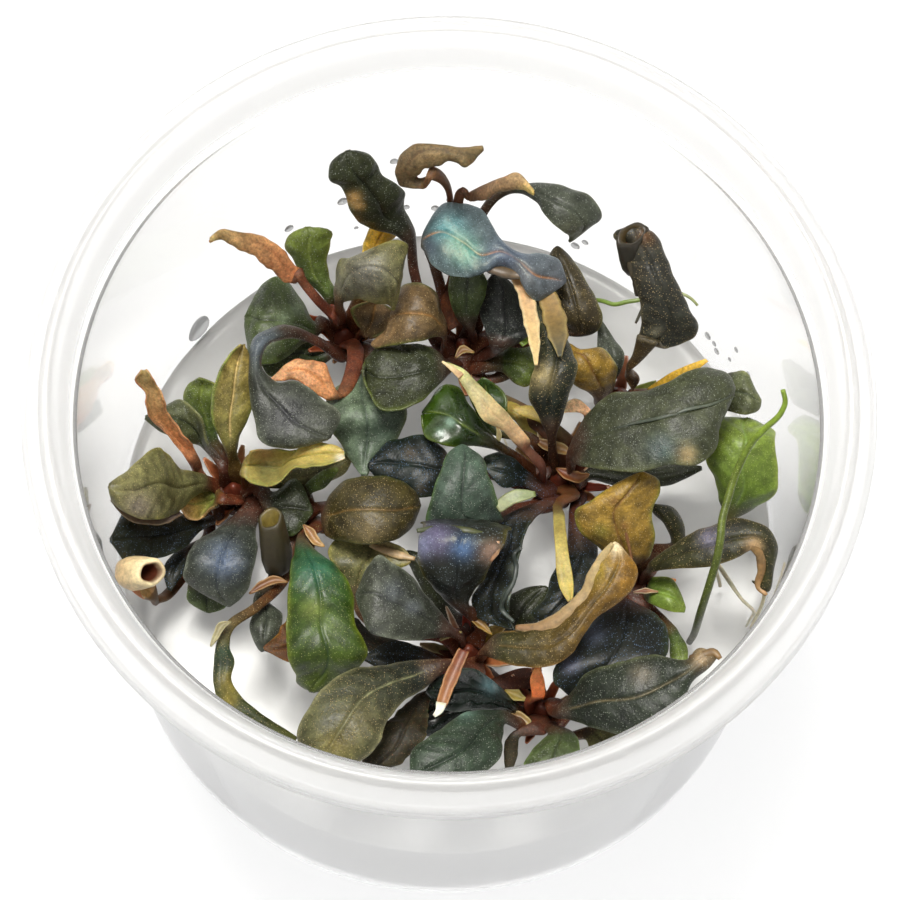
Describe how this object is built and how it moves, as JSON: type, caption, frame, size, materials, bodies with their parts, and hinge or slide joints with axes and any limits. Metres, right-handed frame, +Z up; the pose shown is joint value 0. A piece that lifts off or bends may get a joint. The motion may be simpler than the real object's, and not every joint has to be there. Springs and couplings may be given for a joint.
{
  "type": "bucephalandra grown in a clear cup",
  "caption": "Bucephalandra plants with dark, green and bronze leaves, rooted in clear jelly inside a clear round plastic cup with an open rolled rim.",
  "frame": {"origin": "middle of the cup's flat base, on the surface it stands on", "axes": "+Z up along the cup's axis, +X to the right and -Y towards the viewer of the picture"},
  "size_m": [0.1, 0.1, 0.071],
  "materials": {
    "cup_plastic": "clear, slightly milky",
    "gel": "clear grey jelly, wet",
    "leaf_dead": "satin",
    "leaf_green": "satin",
    "leaf_deep": "satin",
    "leaf_olive": "satin",
    "leaf_ochre": "satin",
    "leaf_slate": "satin",
    "leaf_sage": "satin",
    "leaf_ink": "satin",
    "leaf_taupe": "satin",
    "leaf_tan_roll": "satin",
    "leaf_grey": "satin",
    "leaf_iridescent": "wet gloss",
    "leaf_dotted": "satin",
    "leaf_plum": "satin",
    "leaf_bronze": "satin",
    "leaf_glossy": "wet gloss",
    "leaf_teal": "satin",
    "leaf_striped": "satin",
    "leaf_black": "satin",
    "leaf_lemon": "satin",
    "leaf_bean": "wet gloss",
    "leaf_lime": "wet gloss",
    "leaf_thin_olive": "satin",
    "leaf_rollover": "wet gloss",
    "leaf_bronze_grey": "satin",
    "leaf_gold_fold": "satin",
    "leaf_teal_gloss": "wet gloss",
    "leaf_black_teal": "wet gloss",
    "leaf_slate_big": "satin",
    "leaf_emerald": "wet gloss",
    "leaf_straw": "satin",
    "leaf_mist": "satin",
    "leaf_big_grey": "satin",
    "leaf_strap": "satin",
    "leaf_spotted": "satin",
    "leaf_gold": "satin",
    "leaf_curl": "satin",
    "leaf_fresh": "satin",
    "leaf_starry": "satin",
    "leaf_tower": "satin",
    "rhizome": "satin",
    "shoot": "satin",
    "root": "satin"
  },
  "bodies": {
    "root": {"cup": "cup_plastic", "gel": "gel", "leaf_back_1": "leaf_dead", "leaf_back_2": "leaf_green", "leaf_back_3": "leaf_deep", "leaf_back_4": "leaf_olive", "leaf_back_6": "leaf_ochre", "leaf_back_7": "leaf_slate", "leaf_back_9": "leaf_sage", "leaf_rear_1": "leaf_ink", "leaf_rear_2": "leaf_taupe", "leaf_rear_3": "leaf_tan_roll", "leaf_rear_4": "leaf_grey", "leaf_rear_5": "leaf_iridescent", "leaf_rear_6": "leaf_dotted", "leaf_rear_7": "leaf_plum", "leaf_rear_8": "leaf_deep", "leaf_rear_9": "leaf_bronze", "leaf_rear_10": "leaf_glossy", "leaf_left_1": "leaf_dead", "leaf_left_2": "leaf_teal", "leaf_left_3": "leaf_green", "leaf_left_4": "leaf_striped", "leaf_left_5": "leaf_olive", "leaf_left_7": "leaf_black", "leaf_left_8": "leaf_slate", "leaf_left_10": "leaf_lemon", "leaf_middle_1": "leaf_bean", "leaf_middle_2": "leaf_lime", "leaf_middle_3": "leaf_thin_olive", "leaf_front_1": "leaf_rollover", "leaf_front_2": "leaf_slate", "leaf_front_3": "leaf_olive", "leaf_front_4": "leaf_bronze_grey", "leaf_front_5": "leaf_gold_fold", "leaf_rim_2": "leaf_teal_gloss", "leaf_rim_3": "leaf_black_teal", "leaf_rim_4": "leaf_slate_big", "leaf_right_1": "leaf_emerald", "leaf_right_3": "leaf_straw", "leaf_right_4": "leaf_mist", "leaf_right_5": "leaf_black", "leaf_right_6": "leaf_big_grey", "leaf_right_7": "leaf_strap", "leaf_right_9": "leaf_spotted", "leaf_side_1": "leaf_gold", "leaf_side_2": "leaf_curl", "leaf_side_3": "leaf_fresh", "leaf_side_4": "leaf_starry", "leaf_far_1": "leaf_tower", "leaf_far_3": "leaf_gold", "leaf_far_4": "leaf_teal", "rhizome_back": "rhizome", "rhizome_left": "rhizome", "rhizome_front": "rhizome", "rhizome_right": "rhizome", "rhizome_side": "rhizome", "shoot": "shoot", "root_back": "root", "root_right": "root"}
  },
  "joints": []
}
